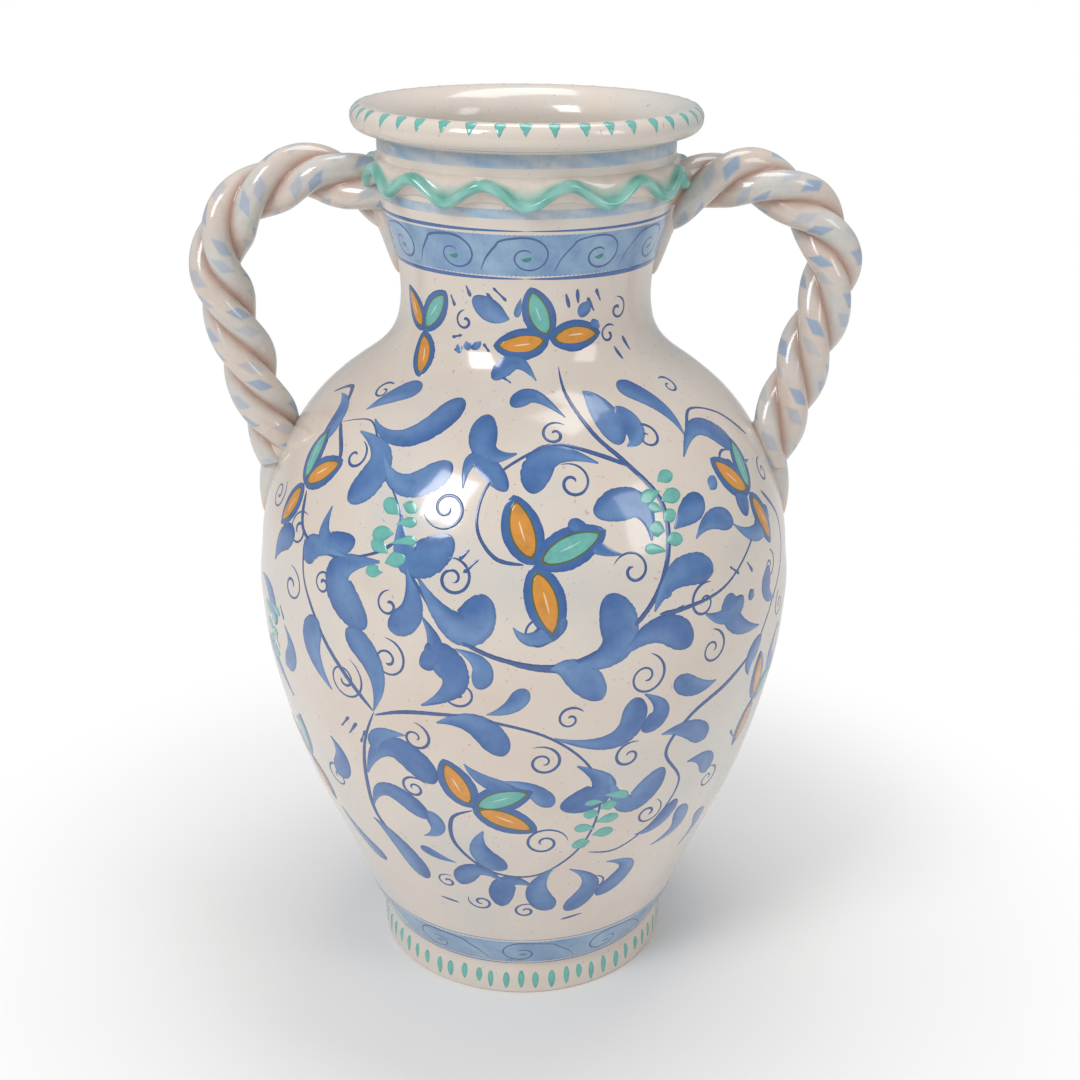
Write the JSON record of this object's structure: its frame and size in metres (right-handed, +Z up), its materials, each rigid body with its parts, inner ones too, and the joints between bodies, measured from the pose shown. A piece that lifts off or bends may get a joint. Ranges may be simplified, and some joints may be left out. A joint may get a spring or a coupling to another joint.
{
  "type": "maiolica vase",
  "caption": "Tall glazed earthenware amphora vase with rope-twist handles, a wavy collar strip and blue, orange and teal painted scrollwork.",
  "frame": {"origin": "centre of the foot's underside, on the surface that the vase stands on", "axes": "+Z up along the vase's axis, handles along X, front towards -Y"},
  "size_m": [0.3642, 0.303, 0.5],
  "materials": {
    "glazed_clay": "gloss tin glaze with painted scrollwork",
    "rope_clay": "gloss tin glaze with blue dabs",
    "strip_clay": "gloss glaze, turquoise edge"
  },
  "bodies": {
    "root": {"foot_ring": "glazed_clay", "lower_body": "glazed_clay", "belly_section": "glazed_clay", "shoulder_section": "glazed_clay", "steep_section": "glazed_clay", "waist_section": "glazed_clay", "neck_section": "glazed_clay", "rim_lip": "glazed_clay", "frill_band": "strip_clay", "right_strand_a": "rope_clay", "right_strand_b": "rope_clay", "right_strand_c": "rope_clay", "right_neck_tab": "rope_clay", "right_shoulder_tab": "rope_clay", "left_strand_a": "rope_clay", "left_strand_b": "rope_clay", "left_strand_c": "rope_clay", "left_neck_tab": "rope_clay", "left_shoulder_tab": "rope_clay"}
  },
  "joints": []
}
